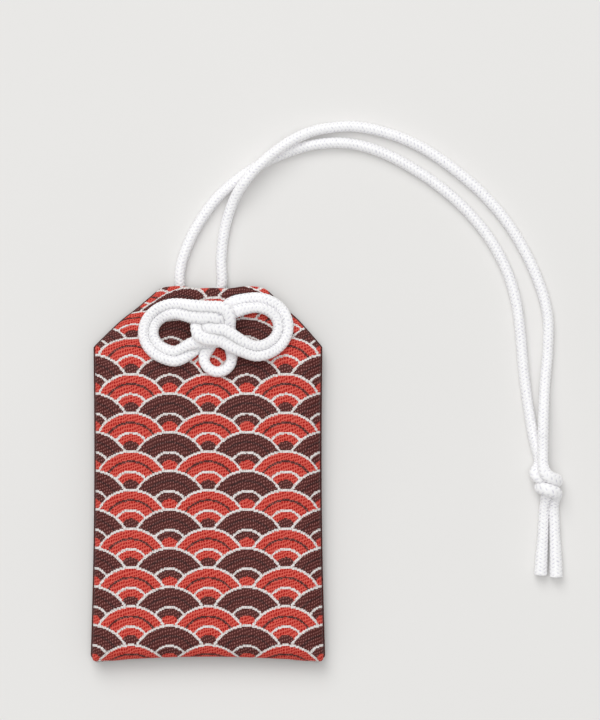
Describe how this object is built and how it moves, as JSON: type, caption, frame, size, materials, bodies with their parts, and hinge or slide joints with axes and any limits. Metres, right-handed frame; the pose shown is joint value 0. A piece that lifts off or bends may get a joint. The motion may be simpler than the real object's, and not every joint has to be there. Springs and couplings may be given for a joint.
{
  "type": "omamori charm",
  "caption": "Padded brocade amulet pouch with cut-off shoulders, a white braided cord tied in a double bow knot on its front, and a hanging loop that ends in a tied knot with loose tails.",
  "frame": {"origin": "middle of the pouch's outline, on the surface that its back lies on", "axes": "+X to the right seen from the front, +Y along the pouch towards its mouth, +Z out of the front"},
  "size_m": [0.094, 0.1079, 0.0123],
  "materials": {
    "brocade": "fine twill brocade in vermilion, maroon and off-white, soft sheen",
    "dark_cloth": "plain dark maroon twill, matt",
    "interlining": "stiff pressed non-woven cloth, matt",
    "card": "plain grey-brown card, matt",
    "paper": "white handmade paper, matt",
    "cypress": "planed cypress, bare",
    "cord": "white round braid, soft sheen"
  },
  "bodies": {
    "pouch": {"front_panel": "brocade", "back_panel": "dark_cloth", "front_interlining": "interlining", "back_interlining": "interlining", "stiffener_card": "card", "bow_knot": "cord", "loop_strand_left": "cord", "loop_strand_right": "cord", "end_knot": "cord", "tail_left": "cord", "tail_right": "cord"},
    "inner_charm": {"charm_wrapper": "paper", "prayer_slip": "cypress"}
  },
  "joints": [
    {"name": "charm_slide", "type": "slide", "parent": "pouch", "child": "inner_charm", "axis": [0, 1, 0], "range_m": [0, 0.003]}
  ]
}
